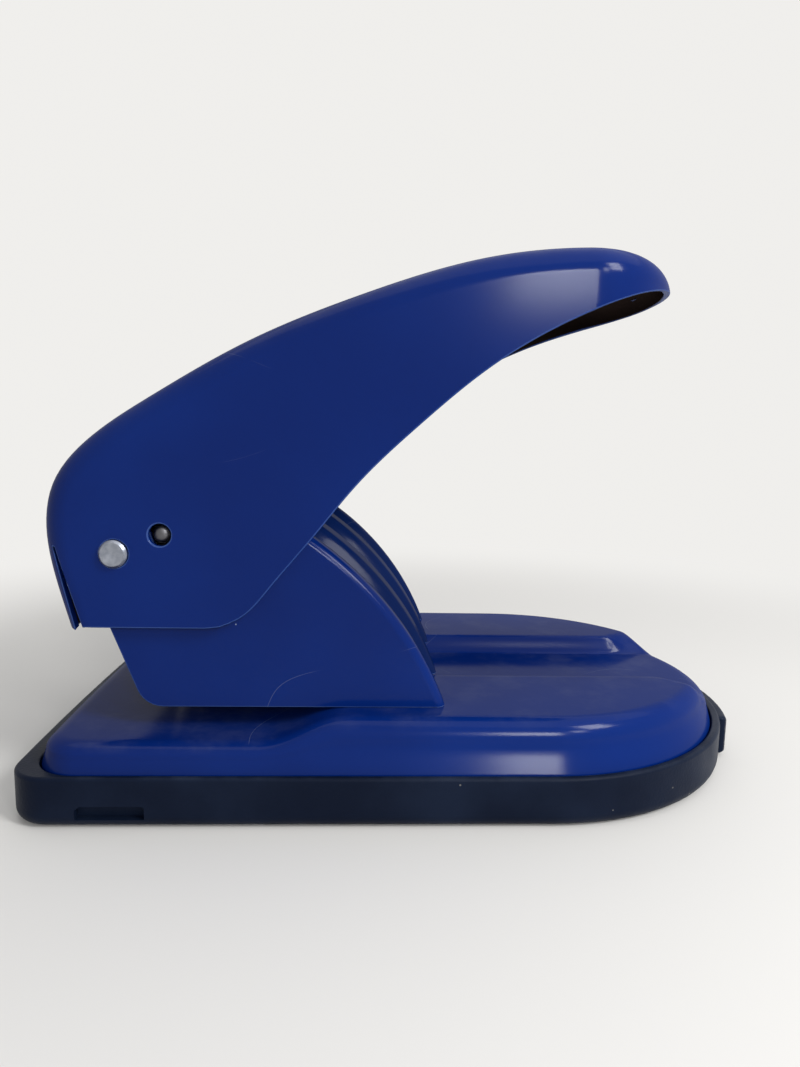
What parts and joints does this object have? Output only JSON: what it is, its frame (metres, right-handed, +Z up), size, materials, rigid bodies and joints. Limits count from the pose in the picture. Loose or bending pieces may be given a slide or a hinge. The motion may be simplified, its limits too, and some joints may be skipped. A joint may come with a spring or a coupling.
{
  "type": "id card slot punch",
  "caption": "Desk punch that cuts a strap slot in an identity card: a long hooded lever drives a slot punch over a card throat, on a blue steel base with a black waste tray.",
  "frame": {"origin": "centre of the footprint, on the surface the machine stands on", "axes": "+X forwards towards the lever's free end, +Y to the left, +Z up"},
  "size_m": [0.1735, 0.109, 0.1226],
  "materials": {
    "blue_enamel": "gloss",
    "black_moulding": "satin",
    "zinc_steel": "satin",
    "tool_steel": "satin",
    "spring_steel": "satin"
  },
  "bodies": {
    "base": {"base_plate": "blue_enamel", "punch_frame": "blue_enamel", "frame_rivets": "zinc_steel", "die_plate": "tool_steel", "die_screws": "zinc_steel", "punch_block": "tool_steel", "block_screws": "zinc_steel", "stripper_plate": "spring_steel", "stripper_screws": "zinc_steel", "spring_seat": "zinc_steel", "return_spring": "spring_steel"},
    "tray": {"waste_tray": "black_moulding"},
    "lever": {"lever": "blue_enamel", "press_bracket": "zinc_steel", "press_pin": "tool_steel", "pivot_pin": "zinc_steel", "pivot_washers": "zinc_steel", "retaining_rings": "spring_steel", "pivot_spacers": "zinc_steel", "cross_pin": "zinc_steel"},
    "punch": {"punch_blade": "tool_steel", "punch_head": "zinc_steel", "head_pin": "zinc_steel"}
  },
  "joints": [
    {"name": "lever_press", "type": "hinge", "parent": "base", "child": "lever", "pos_m": [-0.06445, 0, 0.0567], "axis": [0, 1, 0], "range_deg": [0, 25], "stiffness_Nm_per_rad": 0.6, "springref_deg": -57.3},
    {"name": "punch_stroke", "type": "slide", "parent": "base", "child": "punch", "axis": [0, 0, -1], "range_m": [0, 0.0086], "deforming": ["return_spring"]},
    {"name": "tray_release", "type": "slide", "parent": "base", "child": "tray", "axis": [0, 0, -1], "range_m": [0, 0.025]}
  ],
  "couplings": [
    {"joint": "punch_stroke", "follows": "lever_press", "m_per_rad": 0.01962}
  ]
}
